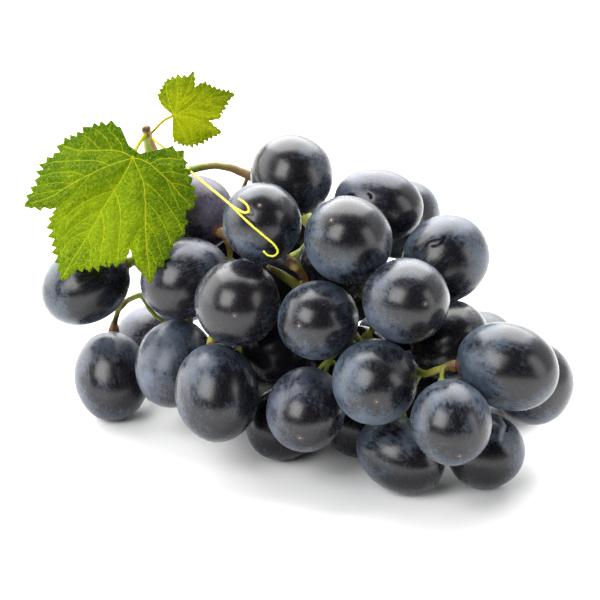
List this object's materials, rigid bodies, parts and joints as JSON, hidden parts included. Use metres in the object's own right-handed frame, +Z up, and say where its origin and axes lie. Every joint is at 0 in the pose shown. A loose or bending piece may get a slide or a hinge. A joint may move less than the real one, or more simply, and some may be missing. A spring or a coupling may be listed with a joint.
{
  "type": "bunch of grapes",
  "caption": "Bunch of dark oval grapes lying on its side, on a branched stalk, with a piece of vine shoot that carries lobed leaves and a curling tendril.",
  "frame": {"origin": "centre of the bunch's floor space, on the surface that it lies on", "axes": "+Z up, +X along the bunch to the right of someone facing it, +Y away from them"},
  "size_m": [0.1628, 0.1284, 0.1012],
  "materials": {
    "skin": "blue-black grape skin with a patchy grey bloom, satin",
    "stalk": "green stalk, brown in places, matte",
    "shoot": "yellow-green young shoot with a pinkish side, satin",
    "leaf_large": "fresh green leaf with yellow veins, satin",
    "leaf_small": "young light green leaf with pale veins, satin",
    "tendril": "yellow-green tendril, satin"
  },
  "bodies": {
    "root": {"berry_01": "skin", "berry_02": "skin", "berry_03": "skin", "berry_04": "skin", "berry_05": "skin", "berry_06": "skin", "berry_07": "skin", "berry_08": "skin", "berry_09": "skin", "berry_10": "skin", "berry_11": "skin", "berry_12": "skin", "berry_13": "skin", "berry_14": "skin", "berry_15": "skin", "berry_16": "skin", "berry_17": "skin", "berry_18": "skin", "berry_19": "skin", "berry_20": "skin", "berry_21": "skin", "berry_22": "skin", "berry_23": "skin", "berry_24": "skin", "berry_25": "skin", "berry_26": "skin", "berry_27": "skin", "berry_28": "skin", "berry_29": "skin", "berry_30": "skin", "berry_31": "skin", "berry_32": "skin", "berry_33": "skin", "berry_34": "skin", "berry_35": "skin", "berry_36": "skin", "berry_37": "skin", "berry_38": "skin", "berry_39": "skin", "berry_40": "skin", "berry_41": "skin", "berry_42": "skin", "berry_43": "skin", "berry_44": "skin", "stalk": "stalk", "shoot": "shoot", "leaf_large": "leaf_large", "leaf_small": "leaf_small", "tendril": "tendril"}
  },
  "joints": []
}
